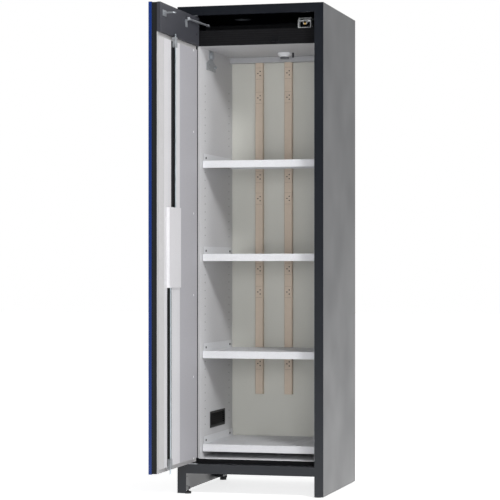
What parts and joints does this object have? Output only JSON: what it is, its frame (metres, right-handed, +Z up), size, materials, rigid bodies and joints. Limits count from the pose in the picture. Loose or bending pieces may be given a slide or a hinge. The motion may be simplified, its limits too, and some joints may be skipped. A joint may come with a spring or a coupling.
{
  "type": "battery charging cabinet",
  "caption": "Tall fire-resistant cabinet with one open wing door, shelves, socket strips, smoke detector and a rod lock, for storing and charging batteries.",
  "frame": {"origin": "on the floor, at the centre of the footprint of the cabinet with its door open at 90 degrees", "axes": "+Z up, +Y into the cabinet from its front, +X to the right seen from the front"},
  "size_m": [0.599, 1.1216, 1.993],
  "materials": {
    "casing_paint": "fine-textured anthracite powder coat",
    "cover_paint": "fine-textured anthracite powder coat",
    "foot_zinc": "black pad on a zinc-plated stem",
    "insulation": "raw mineral board, inside",
    "wall_liner": "light grey satin paint",
    "rear_liner": "light grey satin paint, slightly warm",
    "floor_liner": "white satin paint",
    "seal_black": "matt black strip that swells in heat",
    "grille_black": "matt black",
    "shelf_white": "white satin powder coat",
    "peg_steel": "zinc plated",
    "strip_beige": "beige satin plastic",
    "duct_grey": "light grey satin plastic",
    "detector_white": "white satin plastic",
    "detector_dark": "dark grey plastic",
    "damper_zinc": "zinc plated",
    "spigot_steel": "galvanised",
    "gland_grey": "grey plastic",
    "hinge_zinc": "zinc plated",
    "keeper_black": "black paint",
    "rail_zinc": "dark zinc plated",
    "stay_zinc": "zinc plated",
    "latch_chrome": "bright zinc",
    "roller_brass": "brass",
    "door_blue": "gentian blue gloss powder coat",
    "edge_black": "matt black strip that swells in heat",
    "door_liner_white": "white satin powder coat",
    "door_board_grey": "light grey satin paint",
    "profile_white": "white satin powder coat",
    "case_zinc": "zinc plated",
    "spindle_steel": "bare steel",
    "rod_steel": "bright zinc",
    "guide_grey": "grey plastic",
    "handle_dark": "black satin plastic",
    "cylinder_nickel": "nickel plated",
    "screw_white": "white painted head",
    "hook_zinc": "zinc plated"
  },
  "bodies": {
    "cabinet": {"side_panel_left": "casing_paint", "side_panel_right": "casing_paint", "roof_panel": "casing_paint", "rear_panel": "casing_paint", "plinth_beam": "casing_paint", "base_pan": "casing_paint", "foot_brackets": "casing_paint", "insulation_boards": "insulation", "liner_left": "wall_liner", "liner_right": "wall_liner", "liner_rear": "rear_liner", "liner_ceiling": "wall_liner", "liner_floor": "floor_liner", "fire_seals": "seal_black", "vent_grille": "grille_black", "shelf_1": "shelf_white", "shelf_2": "shelf_white", "shelf_3": "shelf_white", "shelf_4": "shelf_white", "shelf_pegs": "peg_steel", "socket_strip_left": "strip_beige", "socket_strip_right": "strip_beige", "cable_duct": "duct_grey", "smoke_detector_base": "detector_white", "smoke_detector_chamber": "detector_dark", "damper_plate": "damper_zinc", "exhaust_spigot": "spigot_steel", "cable_gland": "gland_grey", "hinge_brackets": "hinge_zinc", "rod_keeper": "keeper_black", "stay_rail": "rail_zinc", "latch_body": "latch_chrome"},
    "door": {"door_outer_panel": "door_blue", "door_edge_band": "edge_black", "door_core": "insulation", "door_inner_liner": "door_liner_white", "door_board": "door_board_grey", "lock_profiles": "profile_white", "door_top_cover": "cover_paint", "hinge_blocks": "hinge_zinc", "lock_case": "case_zinc", "lock_case_cover": "profile_white", "rod_guides": "guide_grey", "handle_plate": "handle_dark", "lock_cylinder": "cylinder_nickel", "door_screws": "screw_white", "stay_bracket": "stay_zinc", "door_hook": "hook_zinc"},
    "handle": {"handle_lever": "handle_dark", "handle_spindle": "spindle_steel"},
    "upper_rod": {"upper_rod": "rod_steel"},
    "lower_rod": {"lower_rod": "rod_steel"},
    "lock_plug": {"lock_plug": "cylinder_nickel"},
    "stay_arm": {"stay_arm": "stay_zinc"},
    "latch": {"latch_lever": "latch_chrome", "latch_roller": "roller_brass"},
    "foot_front_left": {"foot_front_left": "foot_zinc"},
    "foot_front_right": {"foot_front_right": "foot_zinc"},
    "foot_rear_left": {"foot_rear_left": "foot_zinc"},
    "foot_rear_right": {"foot_rear_right": "foot_zinc"}
  },
  "joints": [
    {"name": "door_swing", "type": "hinge", "parent": "cabinet", "child": "door", "pos_m": [-0.2535, -0.04775, 0.985], "axis": [0, 0, 1], "range_deg": [0, 90]},
    {"name": "handle_turn", "type": "hinge", "parent": "door", "child": "handle", "pos_m": [-0.26, -0.42525, 0.985], "axis": [1, 0, 0], "range_deg": [0, 45]},
    {"name": "upper_rod_slide", "type": "slide", "parent": "door", "child": "upper_rod", "axis": [0, 0, 1], "range_m": [0, 0.02062]},
    {"name": "lower_rod_slide", "type": "slide", "parent": "door", "child": "lower_rod", "axis": [0, 0, -1], "range_m": [0, 0.02062]},
    {"name": "lock_plug_turn", "type": "hinge", "parent": "door", "child": "lock_plug", "pos_m": [-0.26, -0.42525, 0.941], "axis": [1, 0, 0], "range_deg": [0, 90]},
    {"name": "stay_arm_swing", "type": "hinge", "parent": "door", "child": "stay_arm", "pos_m": [-0.2035, -0.22421, 1.88], "axis": [0, 0, 1], "range_deg": [-173.24, 0]},
    {"name": "latch_lift", "type": "hinge", "parent": "cabinet", "child": "latch", "pos_m": [0.212, 0.03125, 1.893], "axis": [-1, 0, 0], "range_deg": [0, 12], "stiffness_Nm_per_rad": 0.6, "springref_deg": -5.73},
    {"name": "foot_front_left_turn", "type": "hinge", "parent": "cabinet", "child": "foot_front_left", "pos_m": [-0.2685, -0.01225, 0], "axis": [0, 0, 1], "continuous": true},
    {"name": "foot_front_right_turn", "type": "hinge", "parent": "cabinet", "child": "foot_front_right", "pos_m": [0.2685, -0.01225, 0], "axis": [0, 0, 1], "continuous": true},
    {"name": "foot_rear_left_turn", "type": "hinge", "parent": "cabinet", "child": "foot_rear_left", "pos_m": [-0.2685, 0.51875, 0], "axis": [0, 0, 1], "continuous": true},
    {"name": "foot_rear_right_turn", "type": "hinge", "parent": "cabinet", "child": "foot_rear_right", "pos_m": [0.2685, 0.51875, 0], "axis": [0, 0, 1], "continuous": true}
  ],
  "couplings": [
    {"joint": "upper_rod_slide", "follows": "handle_turn", "m_per_rad": 0.026},
    {"joint": "lower_rod_slide", "follows": "handle_turn", "m_per_rad": 0.026},
    {"joint": "stay_arm_swing", "follows": "door_swing", "ratio": -1.9248}
  ]
}
